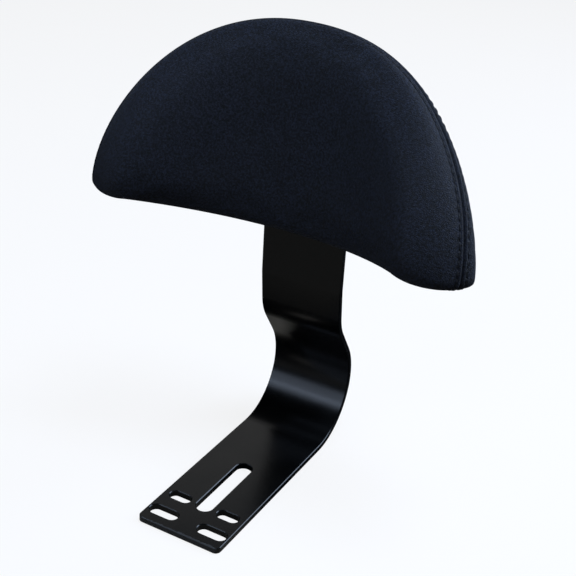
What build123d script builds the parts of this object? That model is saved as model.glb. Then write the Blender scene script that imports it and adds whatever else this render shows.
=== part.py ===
from build123d import *
import math
import os

os.makedirs("parts", exist_ok=True)

# A motorcycle backrest: a half-moon pad on one bent steel strap.
# Millimetres, +Z up. The origin is on the underside of the strap's foot, midway between the two front
# slots. X runs across the strap, the foot runs back along +Y, and the pad faces the rider, along -Y.

# Strap: flat bar, bent three times on its way up
STRAP_WIDTH = 63.5
STRAP_THICK = 4.5
FOOT_FLAT = 138.0          # straight foot, front end to the first bend
FOOT_CORNER_R = 4.0
BIG_BEND_R = 43.0          # centre-line radius of the big bend behind the foot
BIG_BEND_DEG = 124.8
RISER_FLAT = 21.0          # straight run between the big bend and the counter bend
COUNTER_BEND_R = 35.0
COUNTER_BEND_DEG = 28.5
NECK_FLAT = 21.2
SET_BEND_R = 30.0          # slight last bend that sets the pad's lean
SET_BEND_DEG = 5.6
UPRIGHT_FLAT = 139.5
TOP_CORNER_R = 12.0
STRAP_EDGE_BREAK = 0.4     # chamfer all along the strap's edges

# Slots in the foot
SLOT_SPACING_X = 38.0      # centre to centre, front pair and rear pair alike
FRONT_MARGIN = 12.8        # front end of the foot to the front pair's centre line
FRONT_SLOT_LENGTH = 22.0
FRONT_SLOT_WIDTH = 9.5
REAR_PAIR_OFFSET = 19.5    # front pair's centre line to the rear pair's
REAR_SLOT_LENGTH = 16.5
REAR_SLOT_WIDTH = 8.5
LONG_SLOT_START = 14.7     # front pair's centre line to the near end of the long slot
LONG_SLOT_LENGTH = 62.0
LONG_SLOT_WIDTH = 12.5
SLOT_EDGE_BREAK = 0.5      # chamfer round the slots' upper rims

# Pad outline, laid flat: x along the bent pad, y up it from the pad's datum
PAD_DATUM_UP = 30.9        # last bend to the pad's datum, along the strap
HALF_SPAN = 154.8          # middle to the tip, measured along the bend
CROWN_TOP = 153.7
TIP_HEIGHT = 31.6          # height of the widest point
CORNER_RUN = 12.0          # how far in from the tip the lower corner starts
HEM_HEIGHT = 11.5          # lower edge at the middle
HEM_RISE = 6.3             # how much the lower edge rises 100 mm out
CROWN_POWER = 1.52
SIDE_POWER = 2.23
HEM_ROLL_SHARE = 0.44      # the lower edge rolls in this much less than the rest of the outline
TIP_ROLL_SHARE = 0.07      # how much faster than the lower edge the tip rises as the face rolls in

# Pad section
BEND_R = 244.0             # the pad wraps the rider's back at this radius, at its rear face
THICK_MIDDLE = 37.0        # at the datum, on the centre line
THICK_GAIN_OUT = 10.7      # more thickness 100 mm out
THICK_LOSS_UP = 14.0       # less thickness 100 mm up
FACE_ROLL = 38.0           # how far the face rolls in from the outline
FACE_POWER = 1.8
BACK_ROLL = 3.1
BACK_POWER = 3.2
WIDEST_SHARE = 0.165       # level of the widest outline, as a share of the depth
WIDEST_GAIN_UP = 0.24      # the widest level moves forward towards the crown
SEAM_SHARE = 0.18          # level of the seam between face and side band
SEAM_GAP = 0.1

# Layers of the pad, from the strap forward
BACK_PANEL_THICK = 2.2
BACK_PANEL_INSET = 9.0
SEAT_MARGIN = 2.0          # the strap's seat is this much larger than the strap on each side
COVER_THICK = 1.2
HEM_TURN_IN = 18.0         # how far the cover is turned in over the board
BOARD_THICK = 6.0
BOARD_INSET = 6.5
SOFT_CLEARANCE = 0.3       # soft pieces stay this far off their neighbours

# Fastening of the pad to the strap, M6
BOLT_SPACING_X = 38.0
BOLT_SPACING_UP = 45.0
LOWER_BOLT_UP = 48.0       # datum to the lower pair
BOLT_R = 3.0
BOLT_HEAD_ACROSS_FLATS = 10.0
BOLT_HEAD_HEIGHT = 4.0
STRAP_HOLE_R = 3.4
FLAT_WASHER_R = 6.0
FLAT_WASHER_THICK = 1.6
LOCK_WASHER_R = 5.0
LOCK_WASHER_THICK = 1.6
LOCK_WASHER_GAP = 0.9
WASHER_HOLE_R = 3.2
BOLT_END_SHORT = 0.8       # the bolt ends this far behind the nut's face
NUT_FLANGE_R = 9.5
NUT_FLANGE_THICK = 1.4
NUT_BARREL_R = 3.9
NUT_THREAD_R = 3.05
NUT_BARREL_SHORT = 0.4     # the barrel ends this far inside the board's rear face
NUT_PRONG_LENGTH = 4.0
NUT_PRONG_WIDTH = 2.0
NUT_PRONG_COUNT = 4
BARREL_HOLE_R = NUT_BARREL_R + 0.1

# Staples that hold the turned-in cover
STAPLE_COUNT = 26
STAPLE_CROWN = 10.0
STAPLE_WIRE_WIDE = 1.2
STAPLE_WIRE_THICK = 0.6
STAPLE_LEG = 6.0
STAPLE_PROUD = 0.2         # the crown stands this far out of the hem
STAPLE_INSET = 19.0        # outline to the line of staples

# Sections that the bent forms are lofted through
SECTION_STEPS = 9          # from the middle to a tip
SECTION_POINTS = 20
TIP_FLAT = 0.3             # the last section lies this far inside the tip
SECTION_SAMPLES = 48       # levels that each section is worked out at

SLOT_Y = {"front": 0.0, "rear": REAR_PAIR_OFFSET}
PANEL_FRONT = BACK_PANEL_THICK
HEM_LEVEL = PANEL_FRONT + SOFT_CLEARANCE
BOARD_LEVEL = HEM_LEVEL + COVER_THICK + SOFT_CLEARANCE
FOAM_LEVEL = BOARD_LEVEL + BOARD_THICK


# Strap

def strap_runs():
    """Straight runs and bends of the strap's centre line, in order from the foot's front end."""
    return [("line", FOOT_FLAT), ("bend", BIG_BEND_R, BIG_BEND_DEG), ("line", RISER_FLAT),
            ("bend", COUNTER_BEND_R, -COUNTER_BEND_DEG), ("line", NECK_FLAT),
            ("bend", SET_BEND_R, -SET_BEND_DEG), ("line", UPRIGHT_FLAT)]


def strap_line(side):
    """Edges along the strap in the YZ plane, side mm to the left of the centre line."""
    spot = Vector(-FRONT_MARGIN, STRAP_THICK / 2 + side)
    heading = 0.0
    edges = []
    for run in strap_runs():
        along = Vector(math.cos(math.radians(heading)), math.sin(math.radians(heading)))
        if run[0] == "line":
            edge = Line(spot, spot + along * run[1])
        else:
            turn = run[2]
            radius = run[1] - side if turn > 0 else run[1] + side
            edge = JernArc(spot, along, radius, turn)
            heading += turn
        edges.append(edge)
        spot = edge @ 1
    return edges, spot, heading


def pad_plane():
    """Plane of the strap's front face at the pad's datum: x across, y up the strap, z forward."""
    edges, _, heading = strap_line(STRAP_THICK / 2)
    foot_of_upright = edges[-1] @ 0
    lean = math.radians(heading)
    up = Vector(0, math.cos(lean), math.sin(lean))
    start = Vector(0, foot_of_upright.X, foot_of_upright.Y)
    forward = Vector(0, -math.sin(lean), math.cos(lean))
    return Plane(origin=start + up * PAD_DATUM_UP, x_dir=(1, 0, 0), z_dir=forward)


PAD = pad_plane()


def slot_cutter(length, width, x, y, turned):
    """Slot through the foot, across it or turned along it."""
    outline = Pos(x, y) * SlotOverall(length, width, rotation=90 if turned else 0)
    return Pos(0, 0, -STRAP_THICK) * extrude(outline, 3 * STRAP_THICK)


def bolt_places():
    """The four pad bolts, in the pad's plane."""
    rows = (LOWER_BOLT_UP, LOWER_BOLT_UP + BOLT_SPACING_UP)
    return [(side * BOLT_SPACING_X / 2, row) for row in rows for side in (-1, 1)]


def at_bolts(shape):
    """A fastener drawn on the pad's datum, repeated at the four bolts."""
    return [PAD * (Pos(x, y, 0) * shape) for x, y in bolt_places()]


def mounting_bracket():
    """One flat bar with a slotted foot, bent up behind the pad."""
    top_edges, top_end, _ = strap_line(STRAP_THICK / 2)
    under_edges, under_end, _ = strap_line(-STRAP_THICK / 2)
    ends = [Line(under_edges[0] @ 0, top_edges[0] @ 0), Line(under_end, top_end)]
    side_face = make_face([Plane.YZ * edge for edge in top_edges + under_edges + ends])
    bar = extrude(side_face, STRAP_WIDTH / 2, both=True)
    front_corners = bar.edges().filter_by(Axis.Z).sort_by(Axis.Y)[:2]
    bar = fillet(front_corners, FOOT_CORNER_R)
    top_corners = bar.edges().filter_by(Axis(PAD.origin, PAD.z_dir)).sort_by(Axis.Z)[-2:]
    bar = fillet(top_corners, TOP_CORNER_R)
    bar = chamfer(bar.edges(), STRAP_EDGE_BREAK)
    uncut = bar
    for pair, length, width in (("front", FRONT_SLOT_LENGTH, FRONT_SLOT_WIDTH),
                                ("rear", REAR_SLOT_LENGTH, REAR_SLOT_WIDTH)):
        for side in (-1, 1):
            bar -= slot_cutter(length, width, side * SLOT_SPACING_X / 2, SLOT_Y[pair], False)
    bar -= slot_cutter(LONG_SLOT_LENGTH, LONG_SLOT_WIDTH, 0, LONG_SLOT_START + LONG_SLOT_LENGTH / 2, True)
    rims = new_edges(uncut, combined=bar).filter_by_position(Axis.Z, STRAP_THICK - 0.01, STRAP_THICK + 0.01)
    bar = chamfer(rims, SLOT_EDGE_BREAK)
    for hole in at_bolts(Cylinder(STRAP_HOLE_R, 4 * STRAP_THICK)):
        bar -= hole
    return bar


# Pad outline and section

def outline_span(x, inset, roll_in=0.0):
    """Lowest and highest point at x of the outline, inset all round and rolled in besides.

    None beyond its tip."""
    reach = HALF_SPAN - inset - roll_in
    if x > reach:
        return None
    corner_start = reach - CORNER_RUN
    tip = TIP_HEIGHT + inset + (HEM_ROLL_SHARE + TIP_ROLL_SHARE) * roll_in
    low = HEM_HEIGHT + inset + HEM_ROLL_SHARE * roll_in + HEM_RISE * (min(x, corner_start) / 100) ** 2
    if x > corner_start:
        run = (x - corner_start) / CORNER_RUN
        low = tip - (tip - low) * math.sqrt(1 - run ** 2)
    turn = math.acos((x / reach) ** (SIDE_POWER / 2))
    high = tip + (CROWN_TOP - inset - roll_in - tip) * math.sin(turn) ** (2 / CROWN_POWER)
    return low, high


def roll(run, depth, power):
    """Inset of a rounded edge: run goes from 0 at the widest level to 1 at the face."""
    return depth * (1 - max(0.0, 1 - run ** power) ** (1 / power))


def roll_in_at(share, y, inset):
    """Roll-in of the pad's outline at a share of its depth."""
    widest = WIDEST_SHARE + WIDEST_GAIN_UP * max(0.0, y / CROWN_TOP) ** 2
    if share > widest:
        return roll((share - widest) / (1 - widest), FACE_ROLL - inset, FACE_POWER)
    return roll((widest - share) / widest, BACK_ROLL - inset, BACK_POWER)


def depth_at(x, y):
    """Thickness of the pad at its face, from the strap forward."""
    return THICK_MIDDLE + THICK_GAIN_OUT * (x / 100) ** 2 - THICK_LOSS_UP * y / 100


def level_at(share, x, y, inset):
    """Distance forward of a share of the depth, from the hem to the face, inset all round."""
    rear = HEM_LEVEL + inset
    return rear + share * (depth_at(x, y) - inset - rear)


def share_at(level, x, y, inset):
    """Share of the depth that lies at a level: the reverse of level_at."""
    rear = HEM_LEVEL + inset
    return (level - rear) / (depth_at(x, y) - inset - rear)


def seam_level(x, y):
    """How far forward the seam runs, at a point of the pad."""
    return level_at(SEAM_SHARE, x, y, 0)


def bent(x, y, w):
    """Point on the bent pad: x along the bend, y up, w forward of the rear face."""
    turn = x / BEND_R
    return Vector((BEND_R - w) * math.sin(turn), y, BEND_R - (BEND_R - w) * math.cos(turn))


def spread(points, count):
    """The open run of points again, as count + 1 points that crowd towards its two ends."""
    steps = [math.dist(a, b) for a, b in zip(points, points[1:])]
    goals = [sum(steps) * (1 - math.cos(math.pi * i / count)) / 2 for i in range(count + 1)]
    spots = []
    index, walked = 0, 0.0
    for goal in goals:
        while index < len(steps) - 1 and walked + steps[index] < goal:
            walked += steps[index]
            index += 1
        share = min(1.0, (goal - walked) / steps[index])
        (ya, wa), (yb, wb) = points[index], points[index + 1]
        spots.append((ya + (yb - ya) * share, wa + (wb - wa) * share))
    return spots


def branch(x, inset, start_level, last, upper):
    """Points (y, w) of a section's lower or upper edge, from start_level(x, y) to the last share.

    Beyond the flat of the face it ends where the two edges meet."""
    side = 1 if upper else 0
    y = outline_span(x, inset)[side]
    for _ in range(4):
        first = share_at(start_level(x, y), x, y, inset)
        y = outline_span(x, inset, max(0.0, min(roll_in_at(first, y, inset), HALF_SPAN - inset - x)))[side]
    room = HALF_SPAN - inset - x
    points = []
    for i in range(SECTION_SAMPLES + 1):
        share = first + (last - first) * i / SECTION_SAMPLES
        roll_in = roll_in_at(share, y, inset)
        y = outline_span(x, inset, min(roll_in, room))[side]
        points.append((y, level_at(share, x, y, inset)))
        if roll_in >= room:
            break
    return points


def form_reach(inset, start_level):
    """How far out a part of the pad goes that starts at start_level(x, y)."""
    x = HALF_SPAN - inset
    y = TIP_HEIGHT + inset
    for _ in range(4):
        roll_in = roll_in_at(share_at(start_level(x, y), x, y, inset), y, inset)
        x = HALF_SPAN - inset - roll_in
        y = TIP_HEIGHT + inset + (HEM_ROLL_SHARE + TIP_ROLL_SHARE) * roll_in
    return x - TIP_FLAT


def pad_form(inset, start_level, last):
    """Solid part of the pad, inset all round: from start_level(x, y) to its face (last 1) or back (last 0).

    It is lofted through sections square to the bend, each a curve closed by a straight line."""
    reach = form_reach(inset, start_level)
    wires = []
    for i in range(-SECTION_STEPS, SECTION_STEPS + 1):
        x = reach * math.sin(math.pi / 2 * i / SECTION_STEPS)
        run = branch(abs(x), inset, start_level, last, False)
        run += branch(abs(x), inset, start_level, last, True)[::-1]
        points = [bent(x, y, w) for y, w in spread(run, SECTION_POINTS)]
        wires.append(Wire([Spline(*points), Line(points[-1], points[0])]))
    return Solid.make_loft(wires)


def outline_prism(inset, level, rear, front):
    """Straight prism over the inset outline, as the outline lies at a level of the bend."""
    reach = HALF_SPAN - inset
    corner_start = reach - CORNER_RUN
    corner = [corner_start + CORNER_RUN * math.sin(math.pi / 2 * i / 4) for i in range(5)]
    crown = [reach * math.cos(math.pi / 2 * i / 12) for i in range(1, 13)]
    lower = [corner_start * i / 3 for i in range(-3, 4)]
    flat = [Vector(bent(x, 0, level).X, outline_span(abs(x), inset)[0]) for x in lower]
    side = [Vector(bent(x, 0, level).X, outline_span(x, inset)[0]) for x in corner]
    side += [Vector(bent(x, 0, level).X, outline_span(x, inset)[1]) for x in crown]
    mirrored = [Vector(-v.X, v.Y) for v in side]
    edges = [Spline(*flat), Spline(*side), Spline(*mirrored[::-1])]
    return Pos(0, 0, rear) * extrude(make_face(edges), front - rear)


def bend_drum(level):
    """Everything forward of a level of the bend."""
    return Pos(0, 0, BEND_R) * Rot(90, 0, 0) * Cylinder(BEND_R - level, 3 * CROWN_TOP)


def bent_sheet(inset, rear, front):
    """Sheet of even thickness between two levels of the bend, with the inset outline."""
    prism = outline_prism(inset, (rear + front) / 2, -1, BEND_R / 2)
    return prism & (bend_drum(rear) - bend_drum(front))


def outline_walk(inset, count):
    """count places evenly spaced along the inset outline, each with the direction of the edge there."""
    reach = HALF_SPAN - inset
    xs = [reach * math.sin(math.pi / 2 * i / 90) for i in range(91)]
    spans = [outline_span(x, inset) for x in xs]
    right = [(x, s[0]) for x, s in zip(xs, spans)] + [(x, s[1]) for x, s in zip(xs, spans)][::-1]
    ring = right + [(-x, y) for x, y in right[::-1]]
    steps = [math.dist(a, b) for a, b in zip(ring, ring[1:])]
    places = []
    walked, next_place = 0.0, sum(steps) / count / 2
    for (xa, ya), (xb, yb), step in zip(ring, ring[1:], steps):
        while walked + step > next_place and len(places) < count:
            share = (next_place - walked) / step
            heading = math.degrees(math.atan2(yb - ya, xb - xa))
            places.append(((xa + (xb - xa) * share, ya + (yb - ya) * share), heading))
            next_place += sum(steps) / count
        walked += step
    return places


# Pad pieces, drawn in the pad's plane

def staple():
    """One staple: crown pressed into the hem, legs forward into the board."""
    crown = Box(STAPLE_CROWN, STAPLE_WIRE_WIDE, STAPLE_WIRE_THICK, align=(Align.CENTER, Align.CENTER, Align.MIN))
    legs = [Pos(side * (STAPLE_CROWN - STAPLE_WIRE_THICK) / 2, 0, 0)
            * Box(STAPLE_WIRE_THICK, STAPLE_WIRE_WIDE, STAPLE_LEG,
                  align=(Align.CENTER, Align.CENTER, Align.MIN)) for side in (-1, 1)]
    return Pos(0, 0, -STAPLE_PROUD) * (crown + legs)


def staples():
    """Staples round the board's rear, turned with the bend and along the edge."""
    one = staple()
    placed = []
    for (x, y), heading in outline_walk(STAPLE_INSET, STAPLE_COUNT):
        spot = bent(x, y, HEM_LEVEL)
        turn = math.degrees(x / BEND_R)
        placed.append(Pos(spot) * Rot(0, -turn, 0) * Rot(0, 0, heading) * one)
    return placed


def strap_seat():
    """Flat seat for the strap, filled out forward to the back panel's front."""
    low = HEM_HEIGHT + BACK_PANEL_INSET + SEAT_MARGIN
    high = UPRIGHT_FLAT - PAD_DATUM_UP + SEAT_MARGIN
    block = Box(STRAP_WIDTH + 2 * SEAT_MARGIN, high - low, STRAP_WIDTH, align=(Align.CENTER, Align.MIN, Align.MIN))
    return Pos(0, low, 0) * block - bend_drum(PANEL_FRONT)


def back_panel():
    """Moulded sheet over the board's rear, with a flat seat for the strap."""
    panel = bent_sheet(BACK_PANEL_INSET, SOFT_CLEARANCE, PANEL_FRONT) + strap_seat()
    for x, y in bolt_places():
        panel -= Pos(x, y, 0) * Cylinder(STRAP_HOLE_R, 6 * BACK_PANEL_THICK)
    return panel


def nut_seat():
    """Level of the flat bottom of the nuts' counterbores in the board."""
    sag = BEND_R - FOAM_LEVEL - math.sqrt((BEND_R - FOAM_LEVEL) ** 2 - (BOLT_SPACING_X / 2 - NUT_FLANGE_R) ** 2)
    return FOAM_LEVEL + sag - NUT_FLANGE_THICK


def base_board():
    """Bent board that carries the foam, the cover's staples and the nuts."""
    board = bent_sheet(BOARD_INSET, BOARD_LEVEL, FOAM_LEVEL)
    for x, y in bolt_places():
        board -= Pos(x, y, 0) * Cylinder(BARREL_HOLE_R, 6 * FOAM_LEVEL)
        counterbore = Cylinder(NUT_FLANGE_R + 0.1, 3 * BOARD_THICK, align=(Align.CENTER, Align.CENTER, Align.MIN))
        board -= Pos(x, y, nut_seat()) * counterbore
        for prong in prongs():
            board -= Pos(x, y, 0) * prong
    return board


def prongs():
    """The prongs of one nut, pressed back into the board."""
    radius = NUT_FLANGE_R - NUT_PRONG_WIDTH
    shape = Box(NUT_PRONG_WIDTH, NUT_FLANGE_THICK, NUT_PRONG_LENGTH + NUT_FLANGE_THICK,
                align=(Align.CENTER, Align.CENTER, Align.MAX))
    return [Rot(0, 0, 360 / NUT_PRONG_COUNT * i) * Pos(radius, 0, nut_seat() + NUT_FLANGE_THICK) * shape
            for i in range(NUT_PRONG_COUNT)]


def tee_nut():
    """Pronged nut: flange on the board's front, threaded barrel back through it."""
    seat = nut_seat()
    flange = Pos(0, 0, seat) * Cylinder(NUT_FLANGE_R, NUT_FLANGE_THICK, align=(Align.CENTER, Align.CENTER, Align.MIN))
    barrel_rear = BOARD_LEVEL + NUT_BARREL_SHORT
    barrel = Pos(0, 0, barrel_rear) * Cylinder(NUT_BARREL_R, seat - barrel_rear + NUT_FLANGE_THICK,
                                               align=(Align.CENTER, Align.CENTER, Align.MIN))
    nut = flange + barrel
    for prong in prongs():
        nut += prong
    return nut - Cylinder(NUT_THREAD_R, 6 * FOAM_LEVEL)


def flat_washer():
    """Flat washer on the strap's rear face."""
    rear = -STRAP_THICK - FLAT_WASHER_THICK
    ring = Cylinder(FLAT_WASHER_R, FLAT_WASHER_THICK) - Cylinder(WASHER_HOLE_R, 2 * FLAT_WASHER_THICK)
    return Pos(0, 0, rear + FLAT_WASHER_THICK / 2) * ring


def lock_washer():
    """Split spring washer between the flat washer and the bolt's head."""
    rear = -STRAP_THICK - FLAT_WASHER_THICK - LOCK_WASHER_THICK
    ring = Cylinder(LOCK_WASHER_R, LOCK_WASHER_THICK) - Cylinder(WASHER_HOLE_R, 2 * LOCK_WASHER_THICK)
    ring -= Pos(LOCK_WASHER_R, 0, 0) * Rot(20, 0, 0) * Box(2 * LOCK_WASHER_R, LOCK_WASHER_GAP, 3 * LOCK_WASHER_THICK)
    return Pos(0, 0, rear + LOCK_WASHER_THICK / 2) * ring


def pad_bolt():
    """Hexagon bolt from the rear through the strap into the nut."""
    under_head = -STRAP_THICK - FLAT_WASHER_THICK - LOCK_WASHER_THICK
    tip = nut_seat() + NUT_FLANGE_THICK - BOLT_END_SHORT
    hexagon = RegularPolygon(BOLT_HEAD_ACROSS_FLATS / 2, 6, major_radius=False)
    head = extrude(hexagon, BOLT_HEAD_HEIGHT)
    head = head & Cone(BOLT_HEAD_ACROSS_FLATS / 2 - 0.3, BOLT_HEAD_ACROSS_FLATS / 2 + BOLT_HEAD_HEIGHT,
                       BOLT_HEAD_HEIGHT, align=(Align.CENTER, Align.CENTER, Align.MIN))
    shank = Cylinder(BOLT_R, tip - under_head, align=(Align.CENTER, Align.CENTER, Align.MIN))
    shank = chamfer(shank.edges().sort_by(Axis.Z)[-1], BOLT_R / 5)
    return Pos(0, 0, under_head) * (Pos(0, 0, -BOLT_HEAD_HEIGHT) * head + shank)


def cover_pieces():
    """Face panel and side band: one shell, parted at the seam, its hem open at the rear."""
    face = pad_form(0, lambda x, y: seam_level(x, y) + SEAM_GAP, 1)
    face = face - pad_form(COVER_THICK, lambda x, y: seam_level(x, y) - 1, 1)
    band = pad_form(0, seam_level, 0) - pad_form(COVER_THICK, lambda x, y: seam_level(x, y) + 1, 0)
    hem_hole = outline_prism(BOARD_INSET + HEM_TURN_IN, HEM_LEVEL, -1, BEND_R / 3)
    return face, band - hem_hole


def foam_core():
    """Moulded foam between the board and the cover."""
    return pad_form(COVER_THICK + 2 * SOFT_CLEARANCE, lambda x, y: FOAM_LEVEL + SOFT_CLEARANCE, 1)


def group(shapes):
    """Separate solids in one node."""
    return Compound(children=[s for shape in shapes for s in shape.solids()])


def main():
    wire_staples = staples()
    face, band = cover_pieces()
    nodes = {
        "mounting_bracket": mounting_bracket(),
        "back_panel": PAD * back_panel(),
        "base_board": PAD * (base_board() - wire_staples),
        "foam_core": PAD * foam_core(),
        "cover_front_panel": PAD * face,
        "cover_side_band": PAD * (band - wire_staples),
        "cover_staples": group([PAD * s for s in wire_staples]),
        "tee_nuts": group(at_bolts(tee_nut())),
        "pad_bolts": group(at_bolts(pad_bolt())),
        "lock_washers": group(at_bolts(lock_washer())),
        "flat_washers": group(at_bolts(flat_washer())),
    }
    for name, shape in nodes.items():
        export_step(shape, f"parts/{name}.step")


main()
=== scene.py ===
import bpy
import bmesh
import math
import numpy as np
from bpy.props import FloatProperty, FloatVectorProperty, IntProperty, PointerProperty
from mathutils import Matrix, Vector
from mathutils.kdtree import KDTree


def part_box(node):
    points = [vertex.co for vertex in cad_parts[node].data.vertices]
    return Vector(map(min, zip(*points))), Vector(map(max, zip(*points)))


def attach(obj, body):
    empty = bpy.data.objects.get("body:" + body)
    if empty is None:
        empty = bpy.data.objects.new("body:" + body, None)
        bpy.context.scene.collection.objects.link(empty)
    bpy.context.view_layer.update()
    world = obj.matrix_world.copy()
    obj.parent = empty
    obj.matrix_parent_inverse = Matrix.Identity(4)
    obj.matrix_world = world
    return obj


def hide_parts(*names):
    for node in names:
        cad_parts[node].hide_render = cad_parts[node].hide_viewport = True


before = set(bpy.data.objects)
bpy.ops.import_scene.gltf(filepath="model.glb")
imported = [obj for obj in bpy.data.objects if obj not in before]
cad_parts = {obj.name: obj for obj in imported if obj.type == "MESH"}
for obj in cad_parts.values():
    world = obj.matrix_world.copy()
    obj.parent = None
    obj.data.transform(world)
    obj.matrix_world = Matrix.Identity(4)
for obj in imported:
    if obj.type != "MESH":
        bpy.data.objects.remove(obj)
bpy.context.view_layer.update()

bl_info = {
    "name": "Motorcycle backrest pad",
    "version": (1, 0, 0),
    "blender": (4, 5, 0),
    "location": "3D View > Sidebar > Backrest",
    "description": "Upholsters and finishes a backrest pad on its bent strap",
    "category": "Object",
}

BODY = "root"
COVER = "pad_cover"
MM = 0.001
GAIN_SPAN = 0.1  # the outline's and the depth's gains are given per this length
CLIMB_START, CLIMB_SPAN = 0.02, 0.07  # from this height up, and over this one, the seam moves back
HEM_SAMPLES, SKIN_SAMPLES, TURN_SAMPLES = 40, 260, 3001
FAR = 1.0  # stands for any distance to the seam beyond its band
SKIN_ROUNDS = 8  # rounds in which the skin's inset settles
EASED_RINGS, EASE_HOLD = 9, 0.5  # rings eased beside the face's edge, and how firmly
NEAREST = 12  # points of the coarse copy that move one point of the cover
SEAM_BAND = np.array([0, 0.35, 0.7, 1.1, 1.6, 2.1, 2.6, 2.9, 3.2, 3.5, 3.8, 4.3, 5.0, 6.0, 7.2, 8.6]) * MM


# Settings a user would change

def amount(label, text, value):
    """A setting that is a plain number."""
    return FloatProperty(name=label, description=text, default=value)


def size_mm(label, text, value):
    """A length setting, given in millimetres and kept in metres."""
    return FloatProperty(name=label, description=text, default=value * MM, unit="LENGTH")


def degrees(label, text, value):
    """An angle setting, given in degrees."""
    return FloatProperty(name=label, description=text, default=math.radians(value), subtype="ANGLE")


def tint(label, text, value):
    """A colour setting."""
    return FloatVectorProperty(name=label, description=text, size=3, subtype="COLOR", default=value)


class PadShape(bpy.types.PropertyGroup):
    """The stuffed pad: its outline laid flat, its section and the bend it wraps."""
    datum_y: size_mm("Datum back", "Strap's front face at the datum, back from the front slots", 137.343)
    datum_z: size_mm("Datum height", "Height of the pad's datum", 158.037)
    lean: degrees("Lean", "How far the strap's upright leans forward", 0.7)
    half_span: size_mm("Half span", "Middle to the tip along the bend", 154.8)
    crown_top: size_mm("Crown top", "Top of the outline", 153.7)
    tip_height: size_mm("Tip height", "Height of the widest point", 31.6)
    corner_run: size_mm("Corner run", "How far in from the tip the lower corner starts", 12)
    hem_height: size_mm("Lower edge", "Lower edge at the middle", 11.5)
    hem_rise: size_mm("Lower edge rise", "Rise of the lower edge 100 mm out", 6.3)
    crown_power: amount("Crown fullness", "Power of the outline's height", 1.52)
    side_power: amount("Side fullness", "Power of the outline's width", 2.23)
    hem_roll_share: amount("Lower roll share", "The lower edge rolls in by this share", 0.44)
    tip_roll_share: amount("Tip rise share", "How much faster than the lower edge the tip rises", 0.07)
    bend_radius: size_mm("Bend radius", "Radius that the pad's rear face wraps", 244)
    thick_middle: size_mm("Thickness", "At the datum on the centre line", 37)
    thick_gain_out: size_mm("Gain outwards", "More thickness 100 mm out", 10.7)
    thick_loss_up: size_mm("Loss upwards", "Less thickness 100 mm up", 14)
    face_roll: size_mm("Face roll", "How far the face rolls in", 38)
    face_power: amount("Face fullness", "Power of the face's roll", 1.8)
    back_roll: size_mm("Back roll", "How far the back edge rolls in", 3.1)
    back_power: amount("Back fullness", "Power of the back's roll", 3.2)
    widest: amount("Widest level", "Share of the depth that is widest", 0.165)
    widest_gain: amount("Widest gain", "The widest level moves forward towards the crown", 0.24)
    hem_level: size_mm("Hem level", "Rear face of the hem, forward of the strap", 2.5)
    hem_turn_in: size_mm("Hem turn-in", "How far the cover is turned in over the board", 22)


class SeamSizes(bpy.types.PropertyGroup):
    """The seam round the side of the pad and its two rows of top-stitching."""
    level: amount("Seam level", "Share of the pad's depth where the seam runs, low down", 0.205)
    fall: amount("Seam fall", "How much lower that share is along the crown", 0.07)
    groove_depth: size_mm("Groove depth", "Depth of the seam's groove", 1.1)
    groove_width: size_mm("Groove width", "Half width of the seam's groove", 0.7)
    fold_rise: size_mm("Fold rise", "How far the folded edges beside the seam stand out", 0.38)
    row_offset: size_mm("Row offset", "Seam to each row of stitches", 3.2)
    stitch_pitch: size_mm("Stitch pitch", "Hole to hole along a row", 5.6)
    stitch_gap: size_mm("Stitch gap", "Gap between two stitches", 1.3)
    thread_radius: size_mm("Thread radius", "Radius of the sewing thread", 0.32)
    hole_depth: size_mm("Hole depth", "How far the cover is drawn in at a needle hole", 0.45)
    pucker: size_mm("Pucker", "Height of the gathers beside the rows", 0.11)


class CoverMaking(bpy.types.PropertyGroup):
    """How the cover is drawn over the foam and how finely it is meshed."""
    around: IntProperty(name="Points round", description="Points round the pad", default=660)
    voxel: size_mm("Voxel", "Cell of the inflated copy", 5.5)
    pressure: amount("Pressure", "Push of the foam on the cover", 4.0)
    frames: IntProperty(name="Frames", description="Steps of the inflation", default=20)
    swell: size_mm("Swell", "Farthest that the foam may push the cover out", 1.8)
    give: size_mm("Give", "Farthest that the cover may be drawn in", 0.4)
    start_inset: size_mm("Start inset", "The copy starts this much smaller", 1.2)


class Finishes(bpy.types.PropertyGroup):
    """Colours of the object's own materials."""
    leatherette: tint("Leatherette", "Matt cover", (0.0076, 0.0102, 0.0186))
    thread: tint("Thread", "Sewing thread", (0.004, 0.0045, 0.006))
    powder_coat: tint("Powder coat", "Coat on the strap", (0.0012, 0.0014, 0.0016))
    worn_coat: tint("Worn coat", "Where the coat is rubbed thin", (0.032, 0.032, 0.032))
    panel: tint("Back panel", "Moulded plastic sheet", (0.012, 0.0125, 0.014))
    plywood: tint("Plywood", "Board inside the pad", (0.42, 0.27, 0.13))
    foam: tint("Foam", "Foam inside the pad", (0.72, 0.62, 0.36))
    zinc: tint("Zinc", "Plated fasteners", (0.50, 0.51, 0.53))
    floor: tint("Floor", "Studio floor", (0.86, 0.86, 0.86))


class StudioSizes(bpy.types.PropertyGroup):
    """Camera and floor of the studio."""
    azimuth: degrees("Azimuth", "Camera's turn round the object", 27.74)
    elevation: degrees("Elevation", "Camera above the horizon", 26.91)
    roll: degrees("Roll", "Camera's roll", 3.83)
    distance: size_mm("Distance", "Camera to its target", 675.28)
    target: FloatVectorProperty(name="Target", description="Point in the middle of the picture", size=3,
                                default=(0.0382, 0.0472, 0.17003), subtype="XYZ")
    lens: amount("Lens", "Focal length in mm for a 36 mm sensor", 68.97)
    floor_width: size_mm("Floor width", "Side of the studio floor", 14000)


GROUPS = (("backrest_shape", PadShape), ("backrest_seam", SeamSizes), ("backrest_making", CoverMaking),
          ("backrest_finish", Finishes), ("backrest_studio", StudioSizes))


# Pad surface

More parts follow.
